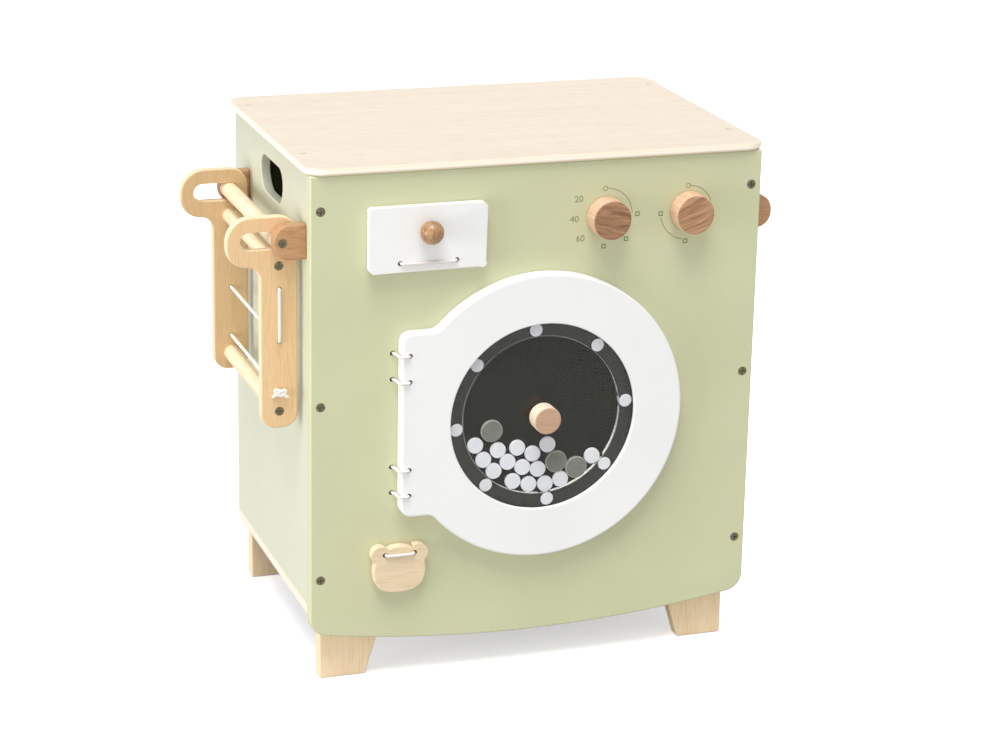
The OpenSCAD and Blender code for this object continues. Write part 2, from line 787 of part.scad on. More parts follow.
module ball_screw() color(bronze) placed() at_ball_screw() screw(ball_screw_l, keeper_head_r, keeper_shank_r);

// Cord across a flap's face, with both ends in the flap's holes
module face_cord(x, half, z) placed() {
    over = flap_face - cord_r - 0.3;
    tube(soften([
        [x - half, flap_back - 0.2, z], [x - half, flap_face + 2, z], [x - half, over, z], [x - half + 3, over, z],
        [x + half - 3, over, z], [x + half, over, z], [x + half, flap_face + 2, z], [x + half, flap_back - 0.2, z]
    ]), cord_r);
}

module flap_cord() color(white) face_cord(flap_x, flap_cord_x - cord_pull, flap_z + flap_cord_up);

module flap_cord_ends() color(white) placed() for (side = [-1, 1])
    cord_end(flap_x + side * (flap_cord_x - cord_pull), flap_z + flap_cord_up);

// Head with two round ears: a squared-off chin, a round crown and two circles
module animal_outline() {
    half_w = animal_w / 2 - 1.7;
    half_h = animal_h / 2 - 0.15;
    function squareness(a) = a > 180 ? 2.6 : 2;
    polygon([for (a = [0:7.5:352.5]) [
        half_w * sign(cos(a)) * pow(abs(cos(a)), 2 / squareness(a)),
        half_h + half_h * sign(sin(a)) * pow(abs(sin(a)), 2 / squareness(a))
    ]]);
    for (side = [-1, 1]) translate([side * (animal_w / 2 - ear_r), animal_h - ear_r]) circle(ear_r);
}

module animal_flap() color(birch) placed() difference() {
    board(flap_face, flap_t) translate([animal_x, animal_z]) animal_outline();
    for (side = [-1, 1]) bar_y(animal_x + side * animal_cord_x, flap_face - cut, animal_cord_z, cord_hole_r, flap_t + 2 * cut);
}

module animal_cord() color(white) face_cord(animal_x, animal_cord_x - cord_pull, animal_cord_z);

module animal_cord_ends() color(white) placed() for (side = [-1, 1])
    cord_end(animal_x + side * (animal_cord_x - cord_pull), animal_cord_z);

// Turning knobs

module knob(i) placed() translate([knob_x + i * knob_pitch, -gap, knob_z]) rotate([90, 0, 0]) difference() {
    rotate_extrude() polygon([[0, 0], [knob_r, 0], [knob_r, knob_l - 1], [knob_r - 1, knob_l], [0, knob_l]]);
    translate([0, 0, -cut]) cylinder(r = spindle_r + fit / 2, h = knob_l * 0.6 + cut);
}

module spindle(i) placed() bar_y(knob_x + i * knob_pitch, -knob_l * 0.6, knob_z, spindle_r, knob_l * 0.6 + front_t + gap + collar_t);

module collar(i) placed() difference() {
    bar_y(knob_x + i * knob_pitch, front_t + gap, knob_z, collar_r, collar_t);
    bar_y(knob_x + i * knob_pitch, front_t + gap - cut, knob_z, spindle_r + fit / 2, collar_t + 2 * cut);
}

module program_knob() color(beech) knob(0);

module program_spindle() color(birch) spindle(0);

module program_collar() color(birch) collar(0);

module heat_knob() color(beech) knob(1);

module heat_spindle() color(birch) spindle(1);

module heat_collar() color(birch) collar(1);

// Drying rack

// Outline of an arm round the rod's axis: a straight leg and a hooked end with a slot
module arm_outline() {
    half = arm_w / 2;
    hook_low = arm_up - hook_h;
    top_r = hook_h / 2 - 0.5;
    hollow_r = 11;
    low_r = hook_reach - half - hollow_r;
    leg_r = 13;
    difference() {
        polygon(concat(
            arc([0, arm_up - half], half, 0, 90, 12),
            arc([-hook_reach + top_r, arm_up - top_r], top_r, 90, 180, 12),
            arc([-hook_reach + low_r, hook_low + low_r], low_r, 180, 270, 12),
            arc([-half - hollow_r, hook_low - hollow_r], hollow_r, 90, 0, 10),
            arc([-half + leg_r, leg_r - arm_down], leg_r, 180, 270, 10),
            arc([half - leg_r, leg_r - arm_down], leg_r, 270, 360, 10)
        ));
        for (x = [0, -slot_run]) translate([x, -slot_drop]) circle(slot_r);
        translate([-slot_run, -slot_drop - slot_r]) square([slot_run, 2 * slot_r]);
    }
}

module arm(y) placed() difference() {
    board(y, arm_t) translate([rack_x, rod_z]) arm_outline();
    for (down = line_downs) bar_y(rack_x, y - cut, rod_z - down, line_hole_r, arm_t + 2 * cut);
    at_rack_screws() screw_hole(rack_screw_l);
}

module rack_front_arm() color(birch) arm(front_arm_y);

module rack_back_arm() color(birch) arm(back_arm_y);

module cross_rod(down) placed() difference() {
    bar_y(rack_x, front_arm_y + arm_t, rod_z - down, rod_r, back_arm_y - front_arm_y - arm_t);
    at_rack_screws() screw_hole(rack_screw_l);
}

module rack_upper_rod() color(birch) cross_rod(upper_rod_down);

module rack_lower_rod() color(birch) cross_rod(lower_rod_down);

module rack_screws() color(bronze) placed() at_rack_screws() screw(rack_screw_l);

// The rack's line: three runs between the arms, joined outside them, with a knot at each end
module rack_line() color(white) placed() {
    near = front_arm_y - line_r - 0.3;
    far = back_arm_y + arm_t + line_r + 0.3;
    zs = [for (down = line_downs) rod_z - down];
    tube(soften([
        [rack_x, near - line_r, zs[2]], [rack_x, near + 6, zs[2]], [rack_x, far - 6, zs[2]],
        [rack_x, far, zs[2]], [rack_x, far, zs[2] + 4], [rack_x, far, zs[1] - 4], [rack_x, far, zs[1]],
        [rack_x, far - 6, zs[1]], [rack_x, near + 6, zs[1]],
        [rack_x, near, zs[1]], [rack_x, near, zs[1] + 4], [rack_x, near, zs[0] - 4], [rack_x, near, zs[0]],
        [rack_x, near + 6, zs[0]], [rack_x, far - 6, zs[0]], [rack_x, far + line_r, zs[0]]
    ]), line_r);
    translate([rack_x, near - line_d + line_r, zs[2]]) sphere(line_d);
    translate([rack_x, far + line_d - line_r, zs[0]]) sphere(line_d);
}

front_panel();
left_side_panel();
right_side_panel();
back_panel();
base_board();
top_board();
front_left_foot();
front_right_foot();
back_left_foot();
back_right_foot();
panel_screws();
top_dowels();
base_screws();
foot_screws();
left_front_block();
left_back_block();
right_front_block();
right_back_block();
block_screws();
rod_screws();
rack_rod();
hanging_rod();
door_ring();
window_keeper();
keeper_screws();
white_discs();
clear_discs();
upper_hinge_cord();
lower_hinge_cord();
hinge_cord_ends();
front_pane();
back_pane();
spacer_ring();
spacer_pins();
window_hub();
window_knob();
window_screw();
detergent_flap();
flap_ball();
ball_screw();
flap_cord();
flap_cord_ends();
animal_flap();
animal_cord();
animal_cord_ends();
program_knob();
program_spindle();
program_collar();
heat_knob();
heat_spindle();
heat_collar();
rack_front_arm();
rack_back_arm();
rack_upper_rod();
rack_lower_rod();
rack_screws();
rack_line();
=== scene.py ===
# %% [markdown]
# This lesson dresses a toy washing machine. The real thing is a play cabinet of painted board and birch
# plywood. Its exact solids were made in a CAD program and are loaded here as a fixed frame. The lesson
# gives them eased edges, real cords, printed dials and finishes of paint, wood, plastic and elastic. New
# pieces take their places from those solids.

# %% Load the solids
import json
import math

import bmesh
import bpy
from mathutils import Matrix, Vector


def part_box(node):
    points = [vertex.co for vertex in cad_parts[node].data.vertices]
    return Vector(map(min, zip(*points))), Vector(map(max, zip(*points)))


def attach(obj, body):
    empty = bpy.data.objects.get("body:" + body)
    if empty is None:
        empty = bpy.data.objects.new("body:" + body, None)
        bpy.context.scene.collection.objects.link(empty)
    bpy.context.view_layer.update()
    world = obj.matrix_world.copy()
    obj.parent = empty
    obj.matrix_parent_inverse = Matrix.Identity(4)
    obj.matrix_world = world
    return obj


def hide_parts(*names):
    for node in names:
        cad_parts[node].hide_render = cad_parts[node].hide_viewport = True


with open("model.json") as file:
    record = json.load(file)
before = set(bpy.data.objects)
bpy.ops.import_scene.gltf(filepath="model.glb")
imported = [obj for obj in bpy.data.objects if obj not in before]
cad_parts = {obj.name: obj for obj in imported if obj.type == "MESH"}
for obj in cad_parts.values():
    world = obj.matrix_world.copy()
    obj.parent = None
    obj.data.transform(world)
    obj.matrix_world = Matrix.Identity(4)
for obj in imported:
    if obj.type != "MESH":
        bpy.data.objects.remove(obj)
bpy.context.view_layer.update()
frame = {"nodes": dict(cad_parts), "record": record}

# %% [markdown]
# The photograph was taken from the left and a little above, with a long lens. The camera stands where the
# straight edges of the cabinet say that it stood. It looks at a point inside the cabinet, which is
# measured in metres from the middle of the front panel's face and from the floor.

# %% Camera
MM = 0.001
AZIMUTH = math.radians(19.09)
ELEVATION = math.radians(17.89)
ROLL = math.radians(1.19)
DISTANCE = 2.56135
AIM_RIGHT = 0.0185
AIM_BEHIND = 0.15
AIM_HEIGHT = 0.2174
FAR = 60

panel_low, panel_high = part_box("front_panel")
panel_x = (panel_low.x + panel_high.x) / 2
panel_y = panel_low.y
aim = Vector((panel_x + AIM_RIGHT, panel_y + AIM_BEHIND, AIM_HEIGHT))

reach = math.cos(ELEVATION)
back = Vector((-math.sin(AZIMUTH) * reach, -math.cos(AZIMUTH) * reach, math.sin(ELEVATION)))
level = Vector((math.cos(AZIMUTH), -math.sin(AZIMUTH), 0))
upright = back.cross(level)
right = math.cos(ROLL) * level + math.sin(ROLL) * upright
up = -math.sin(ROLL) * level + math.cos(ROLL) * upright
turned = Matrix((right, up, back)).transposed().to_4x4()

camera = bpy.data.objects.new("camera", bpy.data.cameras.new("camera"))
bpy.context.scene.collection.objects.link(camera)
camera.data.sensor_width = 36
camera.data.lens = 101.5
camera.data.clip_end = FAR
camera.matrix_world = Matrix.Translation(aim + DISTANCE * back) @ turned
bpy.context.scene.camera = camera
print("camera at", [round(v, 3) for v in camera.location])

# %% [markdown]
# The photograph is a bright studio shot on white. A white sky lights the toy from all round, and a broad
# soft sun, almost overhead, gives the boards their shading. A sun is as bright far away as close by, so
# the pale floor stays white to its edge. A small soft lamp at the left lifts the side panel, the brightest
# face.

# %% Floor and lamps
toy_middle = Vector((panel_x, 0, 0.25))


def lamp(name, kind, place, energy):
    """Adds a lamp at a place, in metres, that shines at the toy's middle."""
    light = bpy.data.lights.new(name, kind)
    light.energy = energy
    holder = bpy.data.objects.new(name, light)
    holder.location = place
    holder.rotation_euler = (Vector(place) - toy_middle).to_track_quat("Z", "Y").to_euler()
    bpy.context.scene.collection.objects.link(holder)
    return light


sun = lamp("soft_sun", "SUN", place=(-0.45, -0.75, 2.6), energy=2.3)
sun.angle = math.radians(32)
softbox = lamp("side_softbox", "AREA", place=(-2.1, -0.5, 0.35), energy=27)
softbox.size = 1.2

world = bpy.data.worlds.new("studio")
world.use_nodes = True
sky = world.node_tree.nodes["Background"]
sky.inputs["Color"].default_value = (1, 1, 1, 1)
sky.inputs["Strength"].default_value = 0.66
bpy.context.scene.world = world
bpy.context.scene.view_settings.view_transform = "Standard"

bpy.ops.object.select_all(action="DESELECT")
bpy.ops.mesh.primitive_plane_add(size=FAR, location=(0, 0, 0))
floor = bpy.context.object
floor.name = "floor"
print("lamps and a floor of", floor.dimensions.x, "m are in place")

# %% [markdown]
# A finish is a small network of nodes. Colours are written as they look on a screen, and turned to the
# linear numbers that the renderer works with. Patterns read Object coordinates, which are metres in the
# toy's own frame, so they stay on a piece when it moves.

# %% Helpers for finishes
# A Mix node for colours has several sockets of the same name, so its sockets are taken by number.
SHARE = 0
COLOUR_A = 6
COLOUR_B = 7
MIXED = 2


def linear(colour):
    """The renderer's four numbers for a screen colour such as #d0d2ac."""
    shares = [int(colour[i:i + 2], 16) / 255 for i in (1, 3, 5)]
    return tuple(s / 12.92 if s <= 0.04045 else ((s + 0.055) / 1.055) ** 2.4 for s in shares) + (1.0,)


def add(tree, kind, settings, result=0):
    """Adds a node and returns one of its outputs. A setting is a value, or another node's output to link."""
    node = tree.nodes.new(kind)
    for name, value in settings.items():
        if name == "stops":
            for stop, (position, colour) in zip(node.color_ramp.elements, value):
                stop.position = position
                stop.color = linear(colour)
        elif isinstance(value, bpy.types.NodeSocket):
            tree.links.new(value, node.inputs[name])
        elif isinstance(name, int) or name in node.inputs:
            node.inputs[name].default_value = value
        else:
            setattr(node, name, value)
    return node.outputs[result]


def new_finish(name, **values):
    """A new material, its tree and its shader with the values set, and the place that its patterns read."""
    material = bpy.data.materials.new(name)
    material.use_nodes = True
    tree = material.node_tree
    shader = tree.nodes["Principled BSDF"]
    for key, value in values.items():
        shader.inputs[key.replace("_", " ")].default_value = value
    place = add(tree, "ShaderNodeTexCoord", {}, "Object")
    return material, tree, shader, place


print("the screen colour #d0d2ac is", [round(v, 3) for v in linear("#d0d2ac")])

# %% [markdown]
# Nearly every finish here is made of cloudy noise. A Mapping node of the texture kind turns the noise and
# stretches it to a size in millimetres. The pattern then gives the shader its colour and, through a Bump
# node, a fine relief.

# %% Patterns
def cloudy(tree, place, sizes_mm, turn=(0, 0, 0), detail=3.0, roughness=0.55, distortion=0.0):
    """Patches of about sizes_mm along X, Y and Z, on axes that are turned."""
    scale = [size * MM for size in sizes_mm]
    sized = add(tree, "ShaderNodeMapping", {
        "vector_type": "TEXTURE", "Vector": place, "Rotation": turn, "Scale": scale})
    return add(tree, "ShaderNodeTexNoise", {
        "Vector": sized, "Scale": 1.0, "Detail": detail, "Roughness": roughness, "Distortion": distortion})


def surface(tree, shader, colour, relief=None, depth_mm=0.0):
    """Gives the shader its colour, and the relief of a pattern about depth_mm deep."""
    tree.links.new(colour, shader.inputs["Base Color"])
    if relief is not None:
        bump = add(tree, "ShaderNodeBump", {"Height": relief, "Strength": 1.0, "Distance": depth_mm * MM})
        tree.links.new(bump, shader.inputs["Normal"])


print("patterns: clouds, sized in millimetres")

# %% [markdown]
# The green and white boards are fibreboard, sprayed with a satin water-based paint. Such paint has one
# even colour, a soft sheen and a very fine orange-peel texture, which is drawn a little coarser than it is
# so that it shows at this distance.

# %% Paints
CLOUD_MM = 90
PEEL_MM = 1.6
PEEL_DEPTH_MM = 0.025


def paint(name, light, dark, roughness):
    """Satin paint, with faint clouds in its colour and a fine peel."""
    material, tree, shader, place = new_finish(name, Roughness=roughness, IOR=1.5)
    clouds = cloudy(tree, place, [CLOUD_MM] * 3)
    colour = add(tree, "ShaderNodeValToRGB", {"Fac": clouds, "stops": [(0.35, light), (0.65, dark)]})
    peel = cloudy(tree, place, [PEEL_MM] * 3, detail=2.0)
    surface(tree, shader, colour, peel, PEEL_DEPTH_MM)
    return material


green_paint = paint("satin_green_paint", "#d0d2ac", "#cccea8", 0.42)
# The sides get a paler, bluer copy of the green paint. This is painted light: it stands for the brighter
# light that falls on the side panels.
paint_with_painted_side_light = paint("satin_green_paint_painted_side_light", "#d2d4bf", "#cfd1bc", 0.42)
white_paint = paint("satin_white_paint", "#f4f4f3", "#f1f1f0", 0.36)
print("paints:", green_paint.name, paint_with_painted_side_light.name, white_paint.name)

# %% [markdown]
# Solid wood is long fibres with growth rings across them. A pattern that is stretched about twenty times
# along the grain gives the fibres, a broader one gives the rings, and short dark flecks are the pores.
# Each wood is oiled or sanded smooth, so it is nearly matt, with pores that are only just deep enough to
# catch light.

# %% Solid woods
GRAIN_STRETCH = 22
PORE_MM = 0.9
PORE_DEPTH_MM = 0.04


def grain_sizes(axis, across_mm):
    """Sizes of a pattern that is long along the grain's axis."""
    sizes = [across_mm] * 3
    sizes["XYZ".index(axis)] = across_mm * GRAIN_STRETCH
    return sizes


def grained(tree, place, axis, light, dark, pore, ring_mm, pore_mm=PORE_MM):
    """Colour and pores of wood whose grain runs along an axis."""
    rings = cloudy(tree, place, grain_sizes(axis, ring_mm), detail=4.0, distortion=0.6)
    ground = add(tree, "ShaderNodeValToRGB", {"Fac": rings, "stops": [(0.3, light), (0.7, dark)]})
    pores = cloudy(tree, place, grain_sizes(axis, pore_mm), detail=2.0)
    flecks = add(tree, "ShaderNodeValToRGB", {"Fac": pores, "stops": [(0.52, "#ffffff"), (0.72, pore)]})
    colour = add(tree, "ShaderNodeMix", {
        "data_type": "RGBA", "blend_type": "MULTIPLY", SHARE: 1.0, COLOUR_A: ground, COLOUR_B: flecks}, MIXED)
    return colour, pores


def wood(name, axis, light, dark, pore, ring_mm, pore_mm=PORE_MM, roughness=0.5):
    """Solid wood with its grain along an axis."""
    material, tree, shader, place = new_finish(name, Roughness=roughness, IOR=1.5)
    colour, pores = grained(tree, place, axis, light, dark, pore, ring_mm, pore_mm)
    surface(tree, shader, colour, pores, PORE_DEPTH_MM)
    return material


foot_wood = wood("pine_feet", "Z", "#ffe8c5", "#fadfb8", "#f5e9d6", 9.0)
rod_wood = wood("birch_rod", "Y", "#f3e2c6", "#ead3ae", "#efe0c8", 5.0)
block_wood = wood("beech_block", "X", "#c79d76", "#ba8b64", "#d9bca0", 4.0, 0.7)
spindle_wood = wood("birch_spindle", "Y", "#ead2ab", "#dcbc8c", "#d9ba8c", 4.0)
ball_beech = wood("beech_ball", "Z", "#b9926d", "#9c7450", "#c3a489", 4.0, 1.4, roughness=0.25)
print("woods:", foot_wood.name, rod_wood.name, block_wood.name, spindle_wood.name, ball_beech.name)

# %% [markdown]
# The knobs are cut from a beech dowel, so their round faces show end grain: wavy growth rings a couple of
# millimetres apart on a darker ground. Their sides show the paler long grain. The change comes with depth
# from the face, so the pattern stays on the knob as it turns.

# %% Turned beech
END_RING_SIZES_MM = (26, 200, 2.4)
END_RING_DEPTH_MM = 0.12
FACE_DEPTH = 0.5 * MM


def turned_beech(name, node, tilt, light, dark, side_light, side_dark):
    """End grain on a knob's face, with its rings tilted, and long grain on its side."""
    material, tree, shader, place = new_finish(name, Roughness=0.55, IOR=1.5)
    bands = cloudy(tree, place, END_RING_SIZES_MM, (0, math.radians(tilt), 0), roughness=0.6, distortion=0.9)
    end_grain = add(tree, "ShaderNodeValToRGB", {"Fac": bands, "stops": [(0.38, light), (0.66, dark)]})
    fibres = cloudy(tree, place, grain_sizes("Y", 2.0))
    side_stops = [(0.35, side_light), (0.65, side_dark)]
    long_grain = add(tree, "ShaderNodeValToRGB", {"Fac": fibres, "stops": side_stops})
    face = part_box(node)[0].y
    depth = add(tree, "ShaderNodeSeparateXYZ", {"Vector": place}, "Y")
    past_face = add(tree, "ShaderNodeMapRange", {
        "Value": depth, "From Min": face + FACE_DEPTH, "From Max": face + 2 * FACE_DEPTH})
    colour = add(tree, "ShaderNodeMix", {
        "data_type": "RGBA", SHARE: past_face, COLOUR_A: end_grain, COLOUR_B: long_grain}, MIXED)
    surface(tree, shader, colour, bands, END_RING_DEPTH_MM)
    return material


program_beech = turned_beech(
    "beech_program_knob", "program_knob", 12, "#b08562", "#845c40", "#e6c0a4", "#d6ad90")
heat_beech = turned_beech(
    "beech_heat_knob", "heat_knob", -20, "#c39873", "#956b4b", "#e8c2a2", "#d9b08e")
window_beech = turned_beech(
    "beech_window_knob", "window_knob", 5, "#c8a589", "#bc987b", "#f0dcc6", "#e6cfb6")
print("turned beech:", program_beech.name, heat_beech.name, window_beech.name)

# %% [markdown]
# Plywood is glued from thin sheets whose grain turns by a right angle from one to the next. Its faces look
# like plain birch, and its cut edges show the sheets as pale and darker stripes. Both come from one
# measure, the distance from the board's middle: the outermost part is face, and the rest is stripes.

# %% Plywood
PLY_RING_MM = 12.0
PLY_PORE = "#f3ead9"
SHEET_MM = 1.5
FACE_STARTS = 1.0 * MM
FACE_FULL = 0.3 * MM


def plywood(name, node, grain, through, light, dark, rim, glue, sheet_mm=SHEET_MM):
    """Birch faces, and stripes on the edges, for a board whose thickness runs along the axis through."""
    material, tree, shader, place = new_finish(name, Roughness=0.5, IOR=1.5)
    birch, pores = grained(tree, place, grain, light, dark, PLY_PORE, PLY_RING_MM)
    low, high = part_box(node)
    axis = "XYZ".index(through)
    middle = (low[axis] + high[axis]) / 2
    half = (high[axis] - low[axis]) / 2
    depth = add(tree, "ShaderNodeSeparateXYZ", {"Vector": place}, through)
    beside = add(tree, "ShaderNodeMath", {"operation": "SUBTRACT", 0: depth, 1: middle})
    off_middle = add(tree, "ShaderNodeMath", {"operation": "ABSOLUTE", 0: beside})
    sheets = add(tree, "ShaderNodeMath", {"operation": "DIVIDE", 0: off_middle, 1: 2 * sheet_mm * MM})
    within_pair = add(tree, "ShaderNodeMath", {"operation": "FRACT", 0: sheets})
    stripes = add(tree, "ShaderNodeValToRGB", {"Fac": within_pair, "stops": [(0.45, rim), (0.55, glue)]})
    on_face = add(tree, "ShaderNodeMapRange", {
        "Value": off_middle, "From Min": half - FACE_STARTS, "From Max": half - FACE_FULL})
    colour = add(tree, "ShaderNodeMix", {
        "data_type": "RGBA", SHARE: on_face, COLOUR_A: stripes, COLOUR_B: birch}, MIXED)
    surface(tree, shader, colour, pores, PORE_DEPTH_MM)
    return material


top_ply = plywood("birch_ply_top", "top_board", "X", "Z", "#e1d6c8", "#dccfbd", "#fff6e8", "#ecdcc2", 1.3)
base_ply = plywood("birch_ply_base", "base_board", "X", "Z", "#eddfc8", "#e6d2b2", "#f4ecdf", "#ead9bf")
front_arm_ply = plywood(
    "birch_ply_front_arm", "rack_front_arm", "Z", "Y", "#eac79a", "#e7c395", "#f3e2c6", "#e3c8a0")
# The back arm's plywood is darker and browner than the front arm's. This is painted shade, for the shade that
# the back arm stands in behind the front one.
back_arm_ply_painted_shade = plywood(
    "birch_ply_back_arm_painted_shade", "rack_back_arm", "Z", "Y", "#d3b388", "#cfae83", "#ecd8b8", "#d9bb90")
animal_ply = plywood("birch_ply_animal", "animal_flap", "X", "Y", "#ead7b8", "#e5cfac", "#f0dfc4", "#dcc19a")
print("plywoods:", top_ply.name, base_ply.name, front_arm_ply.name, back_arm_ply_painted_shade.name, animal_ply.name)

# %% [markdown]
# The window is laser-cut acrylic: a clear pane in front, a dark one at the back, white and clear discs
# between them. The clear discs are drawn as an opaque grey, which is painted reflection of the light that
# they throw back over the dark pane. Clear acrylic bends light a little less than glass, and here a little
# less still, since the photograph's pane mirrors a darker room. For rays from the lamps it is simply
# see-through, because a renderer finds light behind real glass only slowly. The cut edges are frosted, so
# they catch light.

# %% Acrylic
def plain_finish(name, light, dark, patch_mm, **values):
    """A finish of almost one colour, with faint clouds in it."""
    material, tree, shader, place = new_finish(name, **values)
    clouds = cloudy(tree, place, [patch_mm] * 3)
    colour = add(tree, "ShaderNodeValToRGB", {"Fac": clouds, "stops": [(0.35, light), (0.65, dark)]})
    surface(tree, shader, colour)
    return material


def clear_sheet(name):
    """Acrylic to look through, which throws almost no shadow."""
    material, tree, shader, _ = new_finish(
        name, Roughness=0.0, IOR=1.36, Transmission_Weight=1.0, Base_Color=linear("#fcfdfb"))
    shadow = add(tree, "ShaderNodeLightPath", {}, "Is Shadow Ray")
    passing = add(tree, "ShaderNodeBsdfTransparent", {"Color": linear("#fcfcfb")})
    either = add(tree, "ShaderNodeMixShader", {0: shadow, 1: shader.outputs[0], 2: passing})
    tree.links.new(either, tree.nodes["Material Output"].inputs["Surface"])
    return material


clear_acrylic = clear_sheet("clear_acrylic")
dark_acrylic = plain_finish("dark_acrylic", "#1e1e15", "#17170f", 70, Roughness=0.3, Specular_IOR_Level=0.05)
# The clear discs are an opaque grey: painted reflection, in place of clear acrylic over the dark pane.
grey_disc_acrylic_painted_reflection = plain_finish("grey_disc_acrylic_painted_reflection", "#80817a", "#74756d", 9, Roughness=0.3, Specular_IOR_Level=0.2)
frosted_edge = plain_finish("frosted_acrylic_edge", "#c4c5bf", "#b9bab4", 3, Roughness=0.7, IOR=1.49)
# The white acrylic glows a little. This is painted light, which evens out the shade that the door's lip casts
# on the discs and pins.
white_acrylic_painted_glow = plain_finish("white_acrylic_painted_glow", "#c4c4c8", "#bebec3", 6, Roughness=0.35, IOR=1.49,
                             Emission_Color=linear("#f4f4ff"), Emission_Strength=0.25)
print("acrylics:", clear_acrylic.name, dark_acrylic.name, grey_disc_acrylic_painted_reflection.name, white_acrylic_painted_glow.name)

# %% [markdown]
# The screws are burnished steel, nearly black, with light on their worn rims. The dial marks are printed
# in olive ink. The backdrop is white paper, overexposed as in the photograph: it glows a little for the
# camera, so the toy's shadow on it is faint, but it throws back less light at the toy than pure white
# would.

# %% Metal, ink and paper
def backdrop_paper(name):
    """White paper to the camera, and matt grey paper to every other ray."""
    material, tree, shader, _ = new_finish(
        name, Base_Color=linear("#fdfdfd"), Roughness=0.9, Specular_IOR_Level=0.0,
        Emission_Color=linear("#ffffff"), Emission_Strength=0.5)
    seen = add(tree, "ShaderNodeLightPath", {}, "Is Camera Ray")
    matt = add(tree, "ShaderNodeBsdfDiffuse", {"Color": linear("#bfbfbd")})
    either = add(tree, "ShaderNodeMixShader", {0: seen, 1: matt, 2: shader.outputs[0]})
    tree.links.new(either, tree.nodes["Material Output"].inputs["Surface"])
    return material


screw_metal = plain_finish("burnished_steel", "#a59c80", "#6b644e", 1.2, Metallic=1.0, Roughness=0.34)
dowel_ends = plain_finish("glued_dowel_ends", "#cfc6ba", "#c6bcae", 2, Roughness=0.6, IOR=1.5)
dial_ink = plain_finish("olive_ink", "#8b9163", "#7f8558", 4, Roughness=0.6, IOR=1.5)
floor_paper = backdrop_paper("white_backdrop")
floor.data.materials.append(floor_paper)
print("metal, ink and paper:", screw_metal.name, dowel_ends.name, dial_ink.name, floor_paper.name)

# %% [markdown]
# The cords are rubber in a braided white sleeve. The braid follows the cord wherever it bends, so it is
# drawn on the cord's own map: millimetres along it, and one turn round it. Two sets of slanting waves
# cross, and the higher of the two is the strand on top.

# %% Braided elastic
STRANDS = 8
BRAID_MM = 2.4
BRAID_DEPTH_MM = 0.08


def slanting_waves(tree, along, around, way):
    """Waves that wind round the cord, to the left or to the right."""
    run = add(tree, "ShaderNodeMath", {"operation": "MULTIPLY", 0: along, 1: math.tau / BRAID_MM})
    turn = add(tree, "ShaderNodeMath", {"operation": "MULTIPLY", 0: around, 1: way * STRANDS / 2 * math.tau})
    both = add(tree, "ShaderNodeMath", {"operation": "ADD", 0: run, 1: turn})
    return add(tree, "ShaderNodeMath", {"operation": "SINE", 0: both})


def braided_sleeve(name):
    """White braid on a cord's map."""
    material, tree, shader, _ = new_finish(name, Roughness=0.75, IOR=1.45, Sheen_Weight=0.3)
    cord_map = add(tree, "ShaderNodeUVMap", {"uv_map": "braid"})
    along = add(tree, "ShaderNodeSeparateXYZ", {"Vector": cord_map}, "X")
    around = add(tree, "ShaderNodeSeparateXYZ", {"Vector": cord_map}, "Y")
    left_wound = slanting_waves(tree, along, around, -1)
    right_wound = slanting_waves(tree, along, around, 1)
    strands = add(tree, "ShaderNodeMath", {"operation": "MAXIMUM", 0: left_wound, 1: right_wound})
    colour = add(tree, "ShaderNodeValToRGB", {"Fac": strands, "stops": [(0.1, "#d6cfc8"), (0.9, "#faf5f1")]})
    surface(tree, shader, colour, strands, BRAID_DEPTH_MM)
    return material


elastic = braided_sleeve("braided_elastic")
print("braid:", STRANDS, "strands, repeat", BRAID_MM, "mm")

# %% [markdown]
# A new piece takes the place of a CAD node. It moves with the body that the node belongs to, which is
# looked up in the record.

# %% Helpers for pieces
body_of = {node: body for body, nodes in frame["record"]["behaviour"]["bodies"].items() for node in nodes}


def select_only(piece):
    bpy.ops.object.select_all(action="DESELECT")
    piece.select_set(True)
    bpy.context.view_layer.objects.active = piece


def dress(piece, *materials):
    """Gives a piece its finishes, one for each slot."""
    piece.data.materials.clear()
    for material in materials:
        piece.data.materials.append(material)


def stand_for(piece, node):
    """The piece takes the place and body of a CAD node."""
    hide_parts(node)
    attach(piece, body_of[node])


print("bodies:", sorted(set(body_of.values())))

# %% [markdown]
# A CAD solid comes as loose triangles. To work on its edges as by hand, a copy has its points merged and
# the triangles of each flat face joined again.

# %% Joined copies
WELD = 0.002 * MM
FLAT = math.radians(0.1)


def joined_copy(node, name):
    """A copy of a CAD solid whose loose triangles are one mesh with flat faces."""
    piece = bpy.data.objects.new(name, frame["nodes"][node].data.copy())
    bpy.context.scene.collection.objects.link(piece)
    select_only(piece)
    bpy.ops.mesh.customdata_custom_splitnormals_clear()
    bpy.ops.object.mode_set(mode="EDIT")
    bpy.ops.mesh.select_all(action="SELECT")
    bpy.ops.mesh.remove_doubles(threshold=WELD)
    bpy.ops.mesh.dissolve_limited(angle_limit=FLAT)
    bpy.ops.object.mode_set(mode="OBJECT")
    return piece


print("points closer than", WELD / MM, "mm are merged")

# %% [markdown]
# A CAD solid has knife-sharp edges, and a real board has been sanded. So the long sharp edges of a board
# are marked, and a Bevel modifier rounds the marked ones. The edges of small holes stay sharp, because a
# screw or a cord fills them. A Weighted Normal modifier then keeps the large faces flat to the eye.

# %% Marked and rounded edges
SMALL_HOLE = 1.3 * MM
SHARP = math.radians(35)
SLIVER = 0.02 * MM ** 2
SMOOTH_BELOW = math.radians(40)


